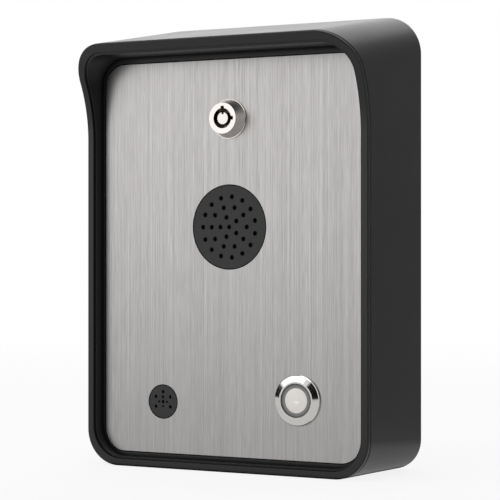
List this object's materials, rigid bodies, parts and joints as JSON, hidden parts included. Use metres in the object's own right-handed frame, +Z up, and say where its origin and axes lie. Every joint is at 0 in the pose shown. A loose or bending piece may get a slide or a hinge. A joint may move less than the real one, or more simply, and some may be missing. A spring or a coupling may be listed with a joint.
{
  "type": "door intercom",
  "caption": "Wall door intercom: hooded charcoal casing, tilting brushed steel panel with key lock, speaker grille, microphone grille and push button.",
  "frame": {"origin": "centre of the flat back face that lies on the wall, midway up the casing's back", "axes": "+X to the right seen from the front, +Y into the wall, +Z up; the front faces -Y"},
  "size_m": [0.142, 0.0695, 0.2],
  "materials": {
    "antenna_rubber": "matte",
    "black_cloth": "matte",
    "black_foam": "matte",
    "black_plastic": "satin",
    "black_rubber": "matte",
    "black_steel": "satin",
    "board_green": "satin",
    "brushed_stainless": "satin",
    "capacitor_sleeve": "satin",
    "card_plastic": "satin",
    "charcoal_bezel": "satin",
    "charcoal_plastic": "satin",
    "diffuser": "satin",
    "ferrite": "matte",
    "gold_brass": "polished",
    "lock_chrome": "polished",
    "lock_plug_steel": "satin",
    "plain_stainless": "satin",
    "polished_stainless": "polished",
    "relay_plastic": "satin",
    "satin_stainless": "satin",
    "speaker_paper": "matte",
    "spring_steel": "polished",
    "terminal_green": "satin",
    "tin_can": "satin",
    "tinned_brass": "satin",
    "white_nylon": "satin",
    "zinc_steel": "satin"
  },
  "bodies": {
    "casing": {"casing": "charcoal_plastic", "front_bezel": "charcoal_bezel", "panel_seal": "black_foam", "latch_catch": "zinc_steel", "catch_screws": "zinc_steel", "upper_bezel_screws": "zinc_steel", "lower_bezel_screws": "black_steel", "pivot_pins": "zinc_steel", "pivot_bushes": "white_nylon", "cable_grommet": "black_rubber"},
    "lock_plug": {"lock_plug": "lock_plug_steel", "lock_tumblers": "spring_steel", "lock_cam": "zinc_steel", "cam_nut": "zinc_steel"},
    "button": {"button_cap": "satin_stainless", "light_ring": "diffuser", "button_clip": "spring_steel"},
    "sim_card": {"sim_card": "card_plastic"},
    "panel": {"faceplate": "brushed_stainless", "pivot_brackets": "plain_stainless", "speaker_grille": "black_plastic", "microphone_grille": "black_plastic", "dust_mesh": "black_cloth", "speaker_gasket": "black_foam", "speaker_studs": "plain_stainless", "speaker_nuts": "zinc_steel", "speaker_basket": "black_steel", "speaker_cone": "speaker_paper", "speaker_magnet": "ferrite", "microphone_boot": "black_rubber", "microphone_capsule": "tin_can", "button_bezel": "polished_stainless", "button_gasket": "black_rubber", "button_nut": "zinc_steel", "button_contact_block": "black_plastic", "button_terminals": "tinned_brass", "button_spring": "spring_steel", "lock_body": "lock_chrome", "lock_washer": "zinc_steel", "lock_nut": "zinc_steel", "board_pillars": "tinned_brass", "main_board": "board_green", "board_screws": "zinc_steel", "gsm_module": "tin_can", "sim_holder": "tin_can", "relay": "relay_plastic", "capacitors": "capacitor_sleeve", "terminal_blocks": "terminal_green", "terminal_screws": "zinc_steel", "antenna_socket": "gold_brass", "antenna": "antenna_rubber"}
  },
  "joints": [
    {"name": "panel_tilt", "type": "hinge", "parent": "casing", "child": "panel", "pos_m": [0, -0.0406, -0.073], "axis": [1, 0, 0], "range_deg": [0, 90]},
    {"name": "lock_turn", "type": "hinge", "parent": "panel", "child": "lock_plug", "pos_m": [0, -0.035, 0.0543], "axis": [0, 1, 0], "range_deg": [0, 90]},
    {"name": "button_press", "type": "slide", "parent": "panel", "child": "button", "axis": [0, 1, 0], "range_m": [0, 0.002], "stiffness_N_per_m": 600, "springref_m": -0.004, "deforming": ["button_spring"]},
    {"name": "sim_slide", "type": "slide", "parent": "panel", "child": "sim_card", "axis": [-1, 0, 0], "range_m": [0, 0.015]}
  ]
}
